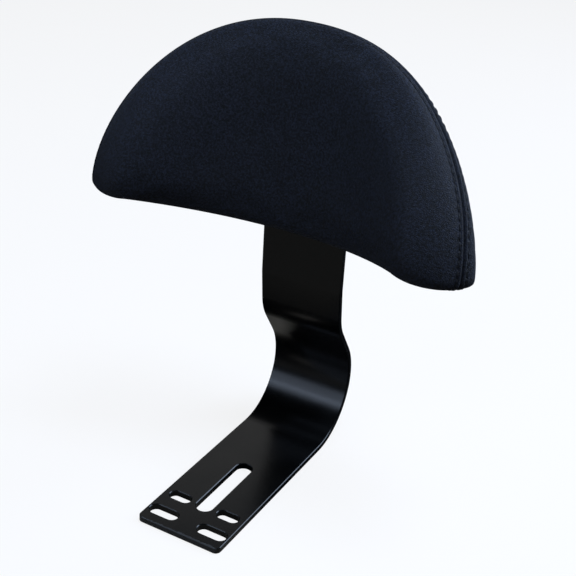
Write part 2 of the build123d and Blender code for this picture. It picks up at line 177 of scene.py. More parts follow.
def pad_axes(shape):
    """Datum, up the strap, and forward towards the rider."""
    up = np.array([0.0, -math.sin(shape.lean), math.cos(shape.lean)])
    forward = np.array([0.0, -math.cos(shape.lean), -math.sin(shape.lean)])
    return np.array([0.0, shape.datum_y, shape.datum_z]), up, forward


def outline_at(shape, turn, roll):
    """Outline points (x, y): turn 0 to 1 is the lower edge, to 2 the corner, to 3 the crown."""
    reach = shape.half_span - roll
    corner_start = reach - shape.corner_run
    low_lift = shape.hem_height + shape.hem_roll_share * roll
    tip = shape.tip_height + (shape.hem_roll_share + shape.tip_roll_share) * roll
    low_end = low_lift + shape.hem_rise * (corner_start / GAIN_SPAN) ** 2
    quarter = math.pi / 2
    x_low = np.clip(turn, 0, 1) * corner_start
    y_low = low_lift + shape.hem_rise * (x_low / GAIN_SPAN) ** 2
    bend = np.clip(turn - 1, 0, 1) * quarter
    x_corner = corner_start + shape.corner_run * np.sin(bend)
    y_corner = tip - (tip - low_end) * np.cos(bend)
    rise = np.clip(turn - 2, 0, 1) * quarter
    x_crown = reach * np.clip(np.cos(rise), 0, 1) ** (2 / shape.side_power)
    y_crown = tip + (shape.crown_top - roll - tip) * np.sin(rise) ** (2 / shape.crown_power)
    x = np.where(turn <= 1, x_low, np.where(turn <= 2, x_corner, x_crown))
    y = np.where(turn <= 1, y_low, np.where(turn <= 2, y_corner, y_crown))
    return x, y


def depth_at(shape, x, y):
    """Thickness of the pad at its face, from the strap forward."""
    gained = shape.thick_gain_out * (x / GAIN_SPAN) ** 2
    return shape.thick_middle + gained - shape.thick_loss_up * y / GAIN_SPAN


def roll_in(run, depth, power):
    """Inset of a rounded edge whose run goes from 0 at the widest level to 1."""
    return depth * (1 - np.clip(1 - np.clip(run, 0, 1) ** power, 0, 1) ** (1 / power))


def skin_at(shape, turn, share):
    """Points (x, y, w) of the pad's skin at a share of its depth, from the hem 0 to the face 1."""
    x, y = outline_at(shape, turn, np.zeros_like(turn))
    for _ in range(SKIN_ROUNDS):
        widest = shape.widest + shape.widest_gain * (np.clip(y, 0, None) / shape.crown_top) ** 2
        face = roll_in((share - widest) / (1 - widest), shape.face_roll, shape.face_power)
        back = roll_in((widest - share) / widest, shape.back_roll, shape.back_power)
        x, y = outline_at(shape, turn, np.where(share > widest, face, back))
    w = shape.hem_level + share * (depth_at(shape, x, y) - shape.hem_level)
    return np.stack([x, y, w], -1)


def bend_round(shape, flat, side):
    """Points (x, y, w) wrapped round the pad's bend, on its right (side 1) or left (-1), as frame points."""
    datum, up, forward = pad_axes(shape)
    x, y, w = flat[..., 0] * side, flat[..., 1], flat[..., 2]
    turn = x / shape.bend_radius
    across = (shape.bend_radius - w) * np.sin(turn)
    ahead = shape.bend_radius - (shape.bend_radius - w) * np.cos(turn)
    return (datum + across[..., None] * np.array([1.0, 0, 0]) + y[..., None] * up
            + ahead[..., None] * forward)


def even_turns(shape, count):
    """Turns evenly spaced from the lower edge's middle to the crown's, and the length all round."""
    fine = np.linspace(0, 3, TURN_SAMPLES)
    x, y = outline_at(shape, fine, np.zeros_like(fine))
    walked = np.concatenate([[0], np.cumsum(np.hypot(np.diff(x), np.diff(y)))])
    return np.interp(np.linspace(0, walked[-1], count + 1), walked, fine), 2 * walked[-1]


def profile_at(shape, turn, run):
    """Points (x, y, w) of the cover: run -1 to 0 is the turned-in hem, 0 to 1 from back edge to face."""
    inset = shape.back_roll + (shape.hem_turn_in - shape.back_roll) * np.clip(-run, 0, 1)
    x, y = outline_at(shape, turn, inset)
    hem = np.stack([x, y, np.full_like(x, shape.hem_level)], -1)
    return np.where((run < 0)[..., None], hem, skin_at(shape, turn, np.clip(run, 0, 1)))


def seam_share(shape, seam, turns):
    """Share of the pad's depth where the seam runs: highest at the tips, lower along the crown."""
    climb = np.clip((outline_at(shape, turns, 0 * turns)[1] - CLIMB_START) / CLIMB_SPAN, 0, 1)
    return seam.level - seam.fall * climb ** 2 * (3 - 2 * climb)


def cover_rings(shape, seam, half_count, fine_seam=True):
    """Rings (ring, point, xyz) from the middle of the back to the middle of the face, each ring's distance
    to the seam, positive towards the face, and the length round the pad."""
    turns, length = even_turns(shape, half_count)
    skin_runs = (1 - np.cos(np.linspace(0, math.pi, SKIN_SAMPLES))) / 2
    runs = np.concatenate([np.linspace(-1, 0, HEM_SAMPLES)[:-1], skin_runs])
    grid = np.broadcast_to(runs[:, None], (len(runs), len(turns)))
    points = bend_round(shape, profile_at(shape, np.broadcast_to(turns, grid.shape), grid), 1)
    steps = np.linalg.norm(np.diff(points, axis=0), axis=-1)
    walked = np.concatenate([np.zeros((1, len(turns))), np.cumsum(steps, axis=0)])
    band = SEAM_BAND if fine_seam else SEAM_BAND[::6]
    back_rings, face_rings, middle_rings, rounds = (13, 26, 22, 60) if fine_seam else (7, 14, 12, 8)
    band = np.concatenate([-band[::-1], band[1:]])
    level = seam_share(shape, seam, turns)
    wanted = np.empty((back_rings + len(band) + face_rings, len(turns)))
    for k in range(len(turns)):
        at_seam = np.interp(level[k], runs, walked[:, k])
        goals = np.concatenate([np.linspace(0, at_seam + band[0], back_rings + 1)[:-1], at_seam + band,
                                np.linspace(at_seam + band[-1], walked[-1, k], face_rings + 1)[1:]])
        wanted[:, k] = np.interp(goals, walked[:, k], runs)
    shell = profile_at(shape, np.broadcast_to(turns, wanted.shape), wanted)
    back_middle = np.array([0.0, shape.crown_top / 2, shape.hem_level])
    back = [back_middle + (shell[0] - back_middle) * q for q in (0.0, 0.15, 0.4, 0.7)]
    edge = shell[-1]
    middle_y = (edge[0, 1] + edge[-1, 1]) / 2
    face = []
    for i in range(1, middle_rings + 1):
        q = 1 - i / middle_rings
        x, y = edge[:, 0] * q, middle_y + (edge[:, 1] - middle_y) * q
        face.append(np.stack([x, y, depth_at(shape, x, y)], -1))
    flat = np.concatenate([np.array(back), shell, np.array(face)])
    behind, ahead = len(back) + back_rings, face_rings + len(face)
    distances = np.concatenate([np.full(behind, -FAR), band, np.full(ahead, FAR)])
    right = bend_round(shape, flat, 1)
    left = bend_round(shape, flat[:, -2:0:-1], -1)
    rings = np.concatenate([right, left], axis=1)
    return eased_face(rings, len(distances) - middle_rings, rounds), distances, length


def eased_face(points, edge_ring, rounds):
    """Eases the rings where the rolled edge meets the flat face, so that no crease shows there."""
    away = np.abs(np.arange(len(points)) - edge_ring) / EASED_RINGS
    hold = np.clip(1 - away, 0, 1)[1:-1, None, None] * EASE_HOLD
    for _ in range(rounds):
        gap = np.linalg.norm(np.diff(points, axis=0), axis=-1)[..., None]
        before, after = gap[:-1], gap[1:]
        mean = (points[:-2] * after + points[2:] * before) / (before + after)
        points[1:-1] += (mean - points[1:-1]) * hold
    return points


def ring_mesh(name, points):
    """Closed mesh through rings whose first and last are single points."""
    count, around = points.shape[:2]
    verts = [points[0, 0]] + list(points[1:-1].reshape(-1, 3)) + [points[-1, 0]]
    last = len(verts) - 1

    def at(ring, k):
        return 1 + (ring - 1) * around + k % around

    faces = [(0, at(1, k), at(1, k + 1)) for k in range(around)]
    for ring in range(1, count - 2):
        faces += [(at(ring, k), at(ring + 1, k), at(ring + 1, k + 1), at(ring, k + 1))
                  for k in range(around)]
    faces += [(last, at(count - 2, k + 1), at(count - 2, k)) for k in range(around)]
    mesh = bpy.data.meshes.new(name)
    mesh.from_pydata([tuple(v) for v in verts], [], faces)
    mesh.update()
    outward(mesh)
    return mesh


def outward(mesh):
    """Turns a closed mesh's faces outwards."""
    work = bmesh.new()
    work.from_mesh(mesh)
    bmesh.ops.recalc_face_normals(work, faces=work.faces)
    if work.calc_volume(signed=True) < 0:
        bmesh.ops.reverse_faces(work, faces=work.faces)
    work.to_mesh(mesh)
    work.free()
    mesh.update()


def link(obj):
    """Puts an object in the scene."""
    bpy.context.scene.collection.objects.link(obj)
    return obj


def vectors(mesh, what):
    """A mesh's points ("co") or point normals ("normal") as an array."""
    flat = np.zeros(len(mesh.vertices) * 3, np.float32)
    mesh.vertices.foreach_get(what, flat)
    return flat.reshape(-1, 3).astype(float)


def set_points(mesh, points):
    """Moves a mesh's points to the given places."""
    mesh.vertices.foreach_set("co", points.astype(np.float32).ravel())
    mesh.update()


def search_tree(points):
    """A tree that finds the nearest of the points."""
    tree = KDTree(len(points))
    for i, point in enumerate(points):
        tree.insert(point, i)
    tree.balance()
    return tree


# Inflation of the cover over the foam

def inflated_moves(shape, seam, making):
    """Where the foam pushes the cover: points of a coarse copy and how far each one moves."""
    points, distances, _ = cover_rings(shape, seam, making.around // 8, fine_seam=False)
    copy = link(bpy.data.objects.new("cover_blank", ring_mesh("cover_blank", points)))
    remesh = copy.modifiers.new("Cells", "REMESH")
    remesh.mode = "VOXEL"
    remesh.voxel_size = making.voxel
    mesh = baked(copy)
    copy.modifiers.clear()
    copy.data = mesh
    rest = vectors(mesh, "co") - vectors(mesh, "normal") * making.start_inset
    set_points(mesh, rest)
    seam_points = search_tree(points[distances == 0].reshape(-1, 3))
    datum, _, forward = pad_axes(shape)
    held = copy.vertex_groups.new(name="held")
    rear_margin, seam_reach = 2 * MM, 1.2 * making.voxel
    for i, point in enumerate(rest):
        to_seam = seam_points.find(point)[2]
        behind = (point - datum) @ forward < rear_of(shape, point) + rear_margin
        hold = 1.0 if behind else max(0.0, 1 - (to_seam / seam_reach) ** 2)
        held.add([i], hold, "REPLACE")
    cloth = copy.modifiers.new("Foam", "CLOTH")
    for name, value in (("quality", 6), ("mass", 0.35), ("tension_stiffness", 22),
                        ("compression_stiffness", 22), ("shear_stiffness", 12), ("bending_stiffness", 2.5),
                        ("use_pressure", True), ("uniform_pressure_force", making.pressure),
                        ("vertex_group_mass", held.name)):
        setattr(cloth.settings, name, value)
    cloth.settings.effector_weights.gravity = 0
    cloth.point_cache.frame_start = 1
    cloth.point_cache.frame_end = making.frames
    scene = bpy.context.scene
    for number in range(1, making.frames + 1):
        scene.frame_set(number)
    moves = vectors(baked(copy), "co") - rest
    scene.frame_set(1)
    bpy.data.objects.remove(copy)
    length = np.linalg.norm(moves, axis=1)
    moves *= (np.minimum(length, making.swell) / np.maximum(length, 1e-9))[:, None]
    return rest, moves


def rear_of(shape, point):
    """How far forward of the strap the pad's rear face lies beside a point."""
    turn = math.asin(max(-1.0, min(1.0, point[0] / shape.bend_radius)))
    return shape.bend_radius * (1 - math.cos(turn)) + shape.hem_level


def baked(obj):
    """The object's evaluated mesh as a plain mesh."""
    depsgraph = bpy.context.evaluated_depsgraph_get()
    return bpy.data.meshes.new_from_object(obj.evaluated_get(depsgraph), depsgraph=depsgraph)


def spread_moves(points, rest, moves, reach):
    """The copy's moves at other points, each a smooth mean of the nearest ones."""
    tree = search_tree(rest)
    out = np.zeros_like(points)
    for i, point in enumerate(points):
        found = tree.find_n(point, NEAREST)
        weights = np.array([math.exp(-(distance / reach) ** 2) for _, _, distance in found]) + 1e-9
        index = [j for _, j, _ in found]
        out[i] = (weights[:, None] * moves[index]).sum(0) / weights.sum()
    return out


def seam_relief(seam, distance, phase):
    """How far the cover stands out beside the seam: folds, the groove, the rows and their needle holes."""
    fold_place, fold_width = 1.7 * MM, 1.1 * MM
    channel_depth, channel_width = 0.25 * MM, 0.55 * MM
    hole_width = 0.75 * MM
    pucker_start, pucker_reach = 1.2 * MM, 3.2 * MM

    def hump(away, width):
        return np.exp(-(away / width) ** 2)

    side = np.abs(distance)
    to_row = side - seam.row_offset
    to_hole = np.abs((phase + 0.5) % 1 - 0.5) * seam.stitch_pitch
    groove = -seam.groove_depth * hump(distance, seam.groove_width)
    folds = seam.fold_rise * hump(side - fold_place, fold_width)
    channel = -channel_depth * hump(to_row, channel_width)
    holes = -seam.hole_depth * hump(to_row, hole_width) * hump(to_hole, hole_width)
    outside = np.clip(to_row / pucker_start, 0, 1) * hump(to_row, pucker_reach)
    puckers = -seam.pucker * np.cos(2 * math.pi * phase) * outside
    return groove + folds + channel + holes + puckers


class BACKREST_OT_pad_cover(bpy.types.Operator):
    """Builds the sewn leatherette cover as the foam fills it"""
    bl_idname = "backrest.pad_cover"
    bl_label = "Pad cover"

    def execute(self, context):
        shape, seam = context.scene.backrest_shape, context.scene.backrest_seam
        making = context.scene.backrest_making
        points, distances, length = cover_rings(shape, seam, making.around // 2)
        mesh = ring_mesh(COVER, points)
        co = vectors(mesh, "co")
        around, last = points.shape[1], len(points) - 1
        ring = np.concatenate([[0], np.repeat(np.arange(1, last), around), [last]])
        place = np.concatenate([[0], np.tile(np.arange(around), last - 1), [0]])
        rest, moves = inflated_moves(shape, seam, making)
        out = vectors(mesh, "normal")
        push = (spread_moves(co, rest, moves, making.voxel) * out).sum(1)
        co += out * np.clip(push, -making.give, making.swell)[:, None]
        set_points(mesh, co)
        distance = distances[ring]
        phase = place / around * stitch_count(seam, length)
        relief = np.where(np.abs(distance) < FAR, seam_relief(seam, distance, phase), 0)
        co += vectors(mesh, "normal") * relief[:, None]
        set_points(mesh, co)
        numbers = mesh.attributes.new("ring", "INT", "POINT")
        numbers.data.foreach_set("value", ring.astype(np.int32))
        to_seam = mesh.attributes.new("seam_distance", "FLOAT", "POINT")
        to_seam.data.foreach_set("value", np.abs(distance).astype(np.float32))
        mesh.shade_smooth()
        cover = link(bpy.data.objects.new(COVER, mesh))
        mesh.materials.append(leatherette(context.scene.backrest_finish))
        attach(cover, BODY)
        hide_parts("cover_front_panel", "cover_side_band")
        return {"FINISHED"}


def stitch_count(seam, length):
    """Whole number of stitches round the pad."""
    return int(round(length / seam.stitch_pitch))


# Nodes

class NodeNet:
    """Short calls for laying nodes in one tree."""

    def __init__(self, tree):
        self.tree = tree

    def feed(self, socket, value):
        """Links a socket to another one, or sets its value; None leaves it alone."""
        if isinstance(value, bpy.types.NodeSocket):
            self.tree.links.new(value, socket)
        elif value is not None:
            socket.default_value = value

    def node(self, kind, fed=None, **settings):
        """A node with its settings, and its inputs fed by name or number."""
        made = self.tree.nodes.new(kind)
        for name, value in settings.items():
            setattr(made, name, value)
        for key, value in (fed or {}).items():
            self.feed(made.inputs[key], value)
        return made

    def calc(self, operation, a, b=None, clamp=False):
        return self.node("ShaderNodeMath", {0: a, 1: b}, operation=operation, use_clamp=clamp).outputs[0]

    def times(self, a, b):
        return self.calc("MULTIPLY", a, b)

    def noise(self, vector, scale, detail=2.0, rough=0.5):
        fed = {"Vector": vector, "Scale": scale, "Detail": detail, "Roughness": rough}
        return self.node("ShaderNodeTexNoise", fed).outputs["Fac"]

    def cells(self, vector, scale, feature="F1"):
        fed = {"Vector": vector, "Scale": scale, "Randomness": 1.0}
        return self.node("ShaderNodeTexVoronoi", fed, feature=feature).outputs["Distance"]

    def waves(self, vector, scale, distortion, direction):
        fed = {"Vector": vector, "Scale": scale, "Distortion": distortion}
        return self.node("ShaderNodeTexWave", fed, bands_direction=direction).outputs["Fac"]

    def axes(self, vector):
        return self.node("ShaderNodeSeparateXYZ", {0: vector}).outputs

    def span(self, value, low, high, to_low=0.0, to_high=1.0):
        """A value's range mapped to another, and clamped to it."""
        fed = dict(enumerate((value, low, high, to_low, to_high)))
        return self.node("ShaderNodeMapRange", fed).outputs[0]

    def blend(self, share, a, b, how="MIX"):
        fed = {0: share, 6: a, 7: b}
        return self.node("ShaderNodeMix", fed, data_type="RGBA", blend_type=how).outputs[2]

    def grey(self, value):
        return self.node("ShaderNodeCombineColor", {0: value, 1: value, 2: value}).outputs[0]

    def group(self, tree, **inputs):
        fed = {name.replace("_", " "): value for name, value in inputs.items()}
        return self.node("ShaderNodeGroup", fed, node_tree=tree)

    def mixed(self, share, first, second, end):
        """Feeds a mix of two shaders to the tree's output node."""
        mix = self.node("ShaderNodeMixShader", {0: share, 1: first.outputs[0], 2: second.outputs[0]})
        self.feed(self.tree.nodes[end].inputs["Surface"], mix.outputs[0])


def node_group(name, kind, inputs, outputs):
    """An empty node group with its named sockets, and a net to lay its nodes with."""
    tree = bpy.data.node_groups.new(name, kind)
    for label, socket_type, default in inputs:
        socket = tree.interface.new_socket(name=label, in_out="INPUT", socket_type=socket_type)
        if default is not None:
            socket.default_value = default
    for label, socket_type in outputs:
        tree.interface.new_socket(name=label, in_out="OUTPUT", socket_type=socket_type)
    net = NodeNet(tree)
    return tree, net, net.node("NodeGroupInput"), net.node("NodeGroupOutput")


FLOAT, COLOUR, VECTOR = "NodeSocketFloat", "NodeSocketColor", "NodeSocketVector"
GEOMETRY, MATERIAL = "NodeSocketGeometry", "NodeSocketMaterial"
BOW_REACH, BOW_HEIGHT = 0.86, 1.5  # handles of a stitch's bow, by its half length and its rise
THREAD_LIFT = 1.1  # how far a stitch rises, by the thread's radius


# Stitches

def stitch_path(cover, seam, count, side):
    """Loose points at the stitches' middles on one row, with the row's direction and the cover's normal."""
    mesh = cover.data
    ring = np.zeros(len(mesh.vertices), np.int32)
    mesh.attributes["ring"].data.foreach_get("value", ring)
    near = np.zeros(len(mesh.vertices), np.float32)
    mesh.attributes["seam_distance"].data.foreach_get("value", near)
    seam_ring = int(ring[np.argmin(near)])
    wanted = seam_ring + side * int(np.argmin(np.abs(SEAM_BAND - seam.row_offset)))
    row = ring == wanted
    co, out = vectors(mesh, "co")[row], vectors(mesh, "normal")[row]
    around = len(co)
    spots = (np.arange(count) + 0.5) / count * around
    low = np.floor(spots).astype(int)
    share = (spots - low)[:, None]
    low, high = low % around, (low + 1) % around
    points = co[low] * (1 - share) + co[high] * share
    up = out[low] * (1 - share) + out[high] * share
    along = np.roll(points, -1, axis=0) - np.roll(points, 1, axis=0)
    along /= np.linalg.norm(along, axis=1)[:, None]
    path = bpy.data.meshes.new("stitch_path")
    path.from_pydata([tuple(p) for p in points], [], [])
    for name, values in (("row_along", along), ("row_up", up)):
        attribute = path.attributes.new(name, "FLOAT_VECTOR", "POINT")
        attribute.data.foreach_set("vector", values.astype(np.float32).ravel())
    return path


def stitch_tree():
    """Geometry Nodes that lay one sewn stitch at each point of a row."""
    tree, net, start, end = node_group(
        "Stitches", "GeometryNodeTree",
        (("Geometry", GEOMETRY, None), ("Length", FLOAT, 0.0043), ("Rise", FLOAT, 0.0003),
         ("Sink", FLOAT, 0.0006), ("Thread Radius", FLOAT, 0.0003), ("Material", MATERIAL, None)),
        (("Geometry", GEOMETRY),))
    half = net.times(start.outputs["Length"], 0.5)
    back = net.times(half, -1.0)
    down = net.times(start.outputs["Sink"], -1.0)
    high = net.times(start.outputs["Rise"], BOW_HEIGHT)

    def spot(x, z):
        return net.node("ShaderNodeCombineXYZ", {"X": x, "Z": z}).outputs[0]

    bow = net.node("GeometryNodeCurvePrimitiveBezierSegment", {
        "Resolution": 10, "Start": spot(back, down), "End": spot(half, down),
        "Start Handle": spot(net.times(back, BOW_REACH), high),
        "End Handle": spot(net.times(half, BOW_REACH), high)})
    ring = net.node("GeometryNodeCurvePrimitiveCircle",
                    {"Resolution": 8, "Radius": start.outputs["Thread Radius"]})
    thread = net.node("GeometryNodeCurveToMesh", {"Fill Caps": True, "Curve": bow.outputs["Curve"],
                                                  "Profile Curve": ring.outputs["Curve"]})

    def stored(name):
        made = net.node("GeometryNodeInputNamedAttribute", {"Name": name}, data_type="FLOAT_VECTOR")
        return made.outputs["Attribute"]

    along = net.node("FunctionNodeAlignRotationToVector", {"Vector": stored("row_along")}, axis="X")
    upright = net.node("FunctionNodeAlignRotationToVector", {
        "Rotation": along.outputs["Rotation"], "Vector": stored("row_up")}, axis="Z", pivot_axis="X")
    laid = net.node("GeometryNodeInstanceOnPoints", {
        "Points": start.outputs["Geometry"], "Instance": thread.outputs["Mesh"],
        "Rotation": upright.outputs["Rotation"]})
    real = net.node("GeometryNodeRealizeInstances", {"Geometry": laid.outputs["Instances"]})
    smooth = net.node("GeometryNodeSetShadeSmooth", {"Geometry": real.outputs["Geometry"]})
    finish = net.node("GeometryNodeSetMaterial", {
        "Geometry": smooth.outputs["Geometry"], "Material": start.outputs["Material"]})
    net.feed(end.inputs["Geometry"], finish.outputs["Geometry"])
    return tree


def set_inputs(modifier, tree, values):
    """Sets a Geometry Nodes modifier's inputs by their names in the tree."""
    for item in tree.interface.items_tree:
        if item.item_type == "SOCKET" and item.in_out == "INPUT" and item.name in values:
            modifier[item.identifier] = values[item.name]


class BACKREST_OT_stitch_rows(bpy.types.Operator):
    """Sews the two rows of top-stitching beside the seam"""
    bl_idname = "backrest.stitch_rows"
    bl_label = "Stitch rows"

    def execute(self, context):
        shape, seam = context.scene.backrest_shape, context.scene.backrest_seam
        cover = bpy.data.objects[COVER]
        count = stitch_count(seam, even_turns(shape, 10)[1])
        tree = stitch_tree()
        material = thread_material(context.scene.backrest_finish)
        for name, side in (("stitch_row_face", 1), ("stitch_row_band", -1)):
            row = link(bpy.data.objects.new(name, stitch_path(cover, seam, count, side)))
            modifier = row.modifiers.new("Stitches", "NODES")
            modifier.node_group = tree
            set_inputs(modifier, tree, {
                "Length": seam.stitch_pitch - seam.stitch_gap,
                "Rise": seam.thread_radius * THREAD_LIFT,
                "Sink": seam.hole_depth,
                "Thread Radius": seam.thread_radius,
                "Material": material,
            })
            mesh = baked(row)
            row.modifiers.clear()
            row.data = mesh
            outward(mesh)
            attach(row, BODY)
        return {"FINISHED"}


# Materials

def grain_group():
    """Pebbled grain: raised cells of two sizes with fine pores."""
    tree, net, start, end = node_group(
        "Pebble Grain", "ShaderNodeTree",
        (("Vector", VECTOR, None), ("Cell Size", FLOAT, 0.0012), ("Softness", FLOAT, 0.5)),
        (("Height", FLOAT), ("Valley", FLOAT)))
    place, size = start.outputs["Vector"], start.outputs["Cell Size"]
    scale = net.calc("DIVIDE", 1.0, size)
    warp = net.node("ShaderNodeTexNoise", {"Vector": place, "Scale": net.times(scale, 0.5)})
    shift = net.node("ShaderNodeVectorMath", {0: warp.outputs["Color"], "Scale": net.times(size, 0.6)},
                     operation="SCALE")
    moved = net.node("ShaderNodeVectorMath", {0: place, 1: shift.outputs[0]}, operation="ADD").outputs[0]
    edge = net.cells(moved, scale, "DISTANCE_TO_EDGE")
    small = net.cells(moved, net.times(scale, 2.3), "DISTANCE_TO_EDGE")
    pebble = net.span(edge, 0.0, net.times(start.outputs["Softness"], 0.6))
    fine = net.span(small, 0.0, 0.25)
    pores = net.noise(place, net.times(scale, 4.0), 1.0)
    height = net.calc("ADD", net.times(pebble, 0.62), net.times(fine, 0.23))
    net.feed(end.inputs["Height"], net.calc("ADD", height, net.times(pores, 0.25)))
    net.feed(end.inputs["Valley"], net.calc("SUBTRACT", 1.0, pebble))
    return tree


def mottle_group():
    """Slow drift of a colour, with a second tone in its patches."""
    tree, net, start, end = node_group(
        "Mottle", "ShaderNodeTree",
        (("Vector", VECTOR, None), ("Colour", COLOUR, None), ("Second Colour", COLOUR, None),
         ("Patch Size", FLOAT, 0.05), ("Amount", FLOAT, 0.5)),
        (("Colour", COLOUR), ("Mask", FLOAT)))
    scale = net.calc("DIVIDE", 1.0, start.outputs["Patch Size"])
    slow = net.noise(start.outputs["Vector"], scale, 3.0, 0.55)
    fast = net.noise(start.outputs["Vector"], net.times(scale, 14.0), 2.0, 0.6)
    mask = net.calc("ADD", net.times(net.span(slow, 0.32, 0.68), 0.7), net.times(fast, 0.3))
    share = net.calc("MULTIPLY", mask, start.outputs["Amount"], clamp=True)
    net.feed(end.inputs["Colour"], net.blend(share, start.outputs["Colour"], start.outputs["Second Colour"]))
    net.feed(end.inputs["Mask"], mask)
    return tree


def speck_group():
    """Scattered specks and short scuffs, denser as Amount rises."""
    tree, net, start, end = node_group(
        "Specks", "ShaderNodeTree",
        (("Vector", VECTOR, None), ("Speck Size", FLOAT, 0.0006), ("Amount", FLOAT, 0.2)),
        (("Mask", FLOAT),))
    scale = net.calc("DIVIDE", 1.0, start.outputs["Speck Size"])
    grit = net.noise(start.outputs["Vector"], scale, 3.0, 0.7)
    patches = net.noise(start.outputs["Vector"], net.times(scale, 0.08), 2.0, 0.6)
    level = net.calc("ADD", net.times(grit, 0.7), net.times(patches, 0.5))
    bar = net.calc("SUBTRACT", 1.0, net.times(start.outputs["Amount"], 0.6))
    net.feed(end.inputs["Mask"], net.span(level, bar, net.calc("ADD", bar, 0.04)))
    return tree


MAKERS = {"grain": grain_group, "mottle": mottle_group, "specks": speck_group}
SHARED = {}


def shared(name):
    """A shared shader group, built once."""
    if name not in SHARED:
        SHARED[name] = MAKERS[name]()
    return SHARED[name]


def new_material(name, metallic=0.0, roughness=0.5, specular=0.5, **plain):
    """A material with one Principled shader, a net to lay its nodes with, and object coordinates."""
    material = bpy.data.materials.new(name)
    material.use_nodes = True
    shader = material.node_tree.nodes["Principled BSDF"]
    shader.inputs["Metallic"].default_value = metallic
    shader.inputs["Roughness"].default_value = roughness
    shader.inputs["Specular IOR Level"].default_value = specular
    for label, value in plain.items():
        shader.inputs[label.replace("_", " ")].default_value = value
    net = NodeNet(material.node_tree)
    return material, shader, net, net.node("ShaderNodeTexCoord").outputs["Object"]


def surface(net, shader, colour, roughness, height, depth, strength):
    """Feeds a colour, a roughness and the bumps of a height into the shader."""
    net.feed(shader.inputs["Base Color"], colour)
    net.feed(shader.inputs["Roughness"], roughness)
    raised = net.node("ShaderNodeBump", {"Height": height, "Distance": depth, "Strength": strength})
    net.feed(shader.inputs["Normal"], raised.outputs["Normal"])


def rgba(colour, gain=1.0):
    """A colour setting as four numbers, brightened by gain."""
    return tuple(min(1.0, c * gain) for c in colour) + (1.0,)


def mottled(net, place, first, second, patch, amount):
    """Two colours that drift over a surface in patches: the mixed colour and its mask."""
    made = net.group(shared("mottle"), Vector=place, Colour=first, Second_Colour=second, Patch_Size=patch,
                     Amount=amount)
    return made.outputs["Colour"], made.outputs["Mask"]


def leatherette(finish):
    """Matt black leatherette with a fine pebble."""
    material, shader, net, place = new_material("Leatherette", roughness=0.62, specular=0.28,
                                                Sheen_Weight=0.04, Sheen_Roughness=0.4)
    own = finish.leatherette
    grain = net.group(shared("grain"), Vector=place, Cell_Size=0.0012, Softness=0.5)
    tone, mask = mottled(net, place, rgba(own, 0.88), rgba(own, 1.3), 0.06, 0.8)
    fleck_gain = net.span(net.noise(place, 700.0, 3.0, 0.75), 0.41, 0.59, 0.05, 2.3)
    flecked = net.blend(1.0, tone, net.grey(fleck_gain), "MULTIPLY")
    # Painted shade: the leatherette's colour darkens in the valleys of its grain.
    valley_shaded = net.blend(net.times(grain.outputs["Valley"], 0.6), flecked, rgba(own, 0.3))
    surface(net, shader, valley_shaded, net.span(mask, 0.0, 1.0, 0.56, 0.68), grain.outputs["Height"], 0.0003, 1.0)
    return material


def thread_material(finish):
    """Twisted black sewing thread."""
    material, shader, net, place = new_material("Thread", roughness=0.55, specular=0.4)
    twist = net.waves(place, 700.0, 1.5, "DIAGONAL")
    # Painted light and shade: the thread is lighter on the ridges of its twist and darker in its grooves.
    tone = net.blend(twist, rgba(finish.thread, 0.6), rgba(finish.thread, 1.8))
    surface(net, shader, tone, None, twist, 0.0001, 0.6)
    return material


def powder_coat(finish):
    """Semi-gloss black powder coat, rubbed thin along the strap's front end and its long edges."""
    material, shader, net, place = new_material("Powder Coat", roughness=0.2, specular=0.42)
    peel = net.noise(place, 900.0, 2.0, 0.5)
    fine = net.noise(place, 4200.0, 1.0, 0.5)
    own = finish.powder_coat
    tone, mask = mottled(net, place, rgba(own, 0.7), rgba(own, 1.5), 0.035, 0.7)
    low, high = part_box("mounting_bracket")
    axes = net.axes(place)
    front = net.span(axes["Y"], low.y + 0.2 * MM, low.y + 3.5 * MM, 1.0, 0.0)
    side = net.calc("MAXIMUM", net.span(axes["X"], high.x - 0.9 * MM, high.x),
                    net.span(axes["X"], low.x + 0.9 * MM, low.x))
    edges = net.calc("MAXIMUM", front, net.times(side, 0.55))
    specks = net.group(shared("specks"), Vector=place, Speck_Size=0.0007, Amount=net.times(edges, 0.85))
    worn = net.times(specks.outputs["Mask"], 0.9)
    colour = net.blend(worn, tone, rgba(finish.worn_coat))
    roughness = net.calc("ADD", net.span(mask, 0.0, 1.0, 0.18, 0.27), net.times(worn, 0.3))
    surface(net, shader, colour, roughness, net.calc("ADD", peel, net.times(fine, 0.25)), 0.00008, 0.3)
    return material


def moulded_panel(finish):
    """Matt moulded plastic with a fine spark texture and faint rubs."""
    material, shader, net, place = new_material("Moulded Panel", roughness=0.55, specular=0.4)
    spark = net.cells(place, 1500.0)
    tone, mask = mottled(net, place, rgba(finish.panel, 0.85), rgba(finish.panel, 1.5), 0.05, 0.7)
    rubs = net.group(shared("specks"), Vector=place, Speck_Size=0.0012, Amount=0.38)
    colour = net.blend(net.times(rubs.outputs["Mask"], 0.3), tone, rgba(finish.panel, 5.0))
    surface(net, shader, colour, net.span(mask, 0.0, 1.0, 0.48, 0.62), spark, 0.00012, 0.5)
    return material


def plywood(finish):
    """Raw plywood with its grain and dark glue lines."""
    material, shader, net, place = new_material("Plywood", roughness=0.7, specular=0.3)
    own = finish.plywood
    stretch = net.node("ShaderNodeMapping", {"Vector": place, "Scale": (6.0, 90.0, 90.0)})
    fibres = net.noise(stretch.outputs["Vector"], 6.0, 5.0, 0.6)
    plies = net.waves(place, 110.0, 0.6, "Y")
    tone = net.blend(net.span(fibres, 0.3, 0.7), rgba(own, 0.7), rgba(own, 1.25))
    glued = net.blend(net.times(plies, 0.3), tone, rgba(own, 0.35))
    surface(net, shader, glued, None, fibres, 0.0002, 0.5)
    return material


